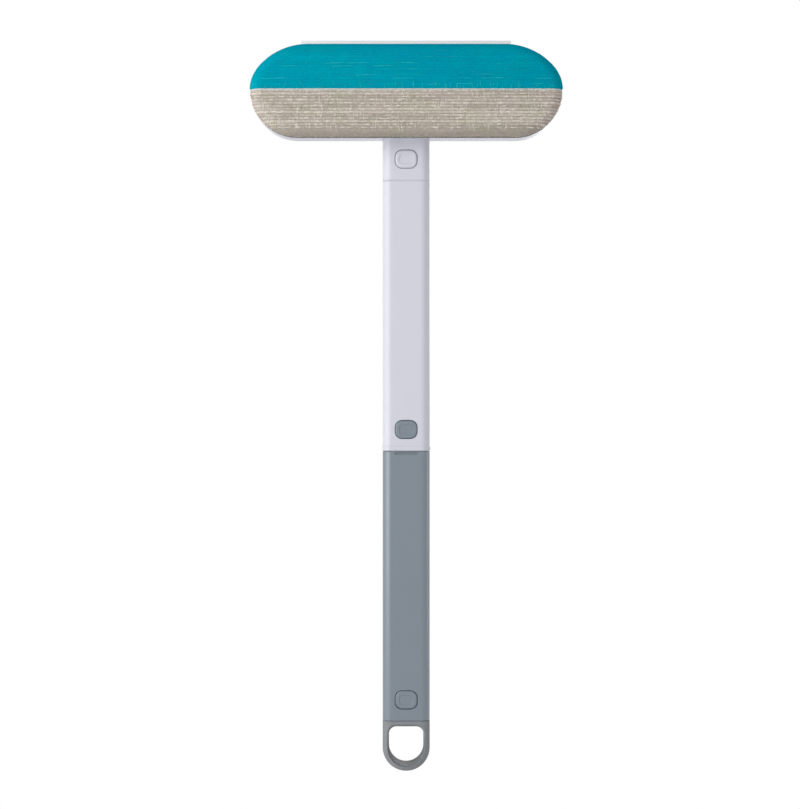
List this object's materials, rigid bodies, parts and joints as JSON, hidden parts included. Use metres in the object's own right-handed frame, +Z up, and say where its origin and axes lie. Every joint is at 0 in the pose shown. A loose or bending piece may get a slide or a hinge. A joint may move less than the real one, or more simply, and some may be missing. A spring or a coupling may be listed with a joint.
{
  "type": "window scrubber",
  "caption": "Hand window scrubber: a padded, cloth-faced oval head with a squeegee lip behind it, on a sectional handle with sprung press-button joints and a hang loop.",
  "frame": {"origin": "centre of the lower, grey handle tube, where a hand holds it", "axes": "+Z up the handle to the head, +X to the right, +Y to the rear; the scrubbing pad faces -Y"},
  "size_m": [0.179, 0.0349, 0.4267],
  "materials": {
    "white_plastic": "satin moulded plastic, cool white",
    "grey_plastic": "satin moulded plastic, blue grey",
    "inner_plastic": "plain moulded plastic, hidden under the pad",
    "teal_cloth": "ribbed looped cloth, teal",
    "grey_cloth": "ribbed looped cloth with pale filaments, warm grey",
    "seam_tape": "pale stitched edge between the two cloths",
    "foam": "closed-cell foam, hidden under the cloths",
    "pale_rubber": "smooth pale rubber",
    "spring_steel": "bright spring strip",
    "screw_steel": "zinc-plated screw"
  },
  "bodies": {
    "scrubber": {"head_shell": "white_plastic", "pad_board": "inner_plastic", "board_screws": "screw_steel", "pad_foam": "foam", "teal_cloth": "teal_cloth", "grey_cloth": "grey_cloth", "seam_tape": "seam_tape", "blade_holder": "white_plastic", "squeegee_blade": "pale_rubber", "upper_tube": "white_plastic", "upper_plug": "white_plastic", "upper_spring": "spring_steel", "lower_tube": "grey_plastic", "lower_plug": "grey_plastic", "lower_spring": "spring_steel", "hang_loop": "grey_plastic", "loop_spring": "spring_steel"},
    "upper_button": {"upper_button": "white_plastic"},
    "lower_button": {"lower_button": "grey_plastic"},
    "loop_button": {"loop_button": "grey_plastic"}
  },
  "joints": [
    {"name": "upper_button_press", "type": "slide", "parent": "scrubber", "child": "upper_button", "axis": [0, 1, 0], "range_m": [0, 0.0028], "stiffness_N_per_m": 1500, "springref_m": -0.0012, "deforming": ["upper_spring"]},
    {"name": "lower_button_press", "type": "slide", "parent": "scrubber", "child": "lower_button", "axis": [0, 1, 0], "range_m": [0, 0.0028], "stiffness_N_per_m": 1500, "springref_m": -0.0012, "deforming": ["lower_spring"]},
    {"name": "loop_button_press", "type": "slide", "parent": "scrubber", "child": "loop_button", "axis": [0, 1, 0], "range_m": [0, 0.0028], "stiffness_N_per_m": 1500, "springref_m": -0.0012, "deforming": ["loop_spring"]}
  ]
}
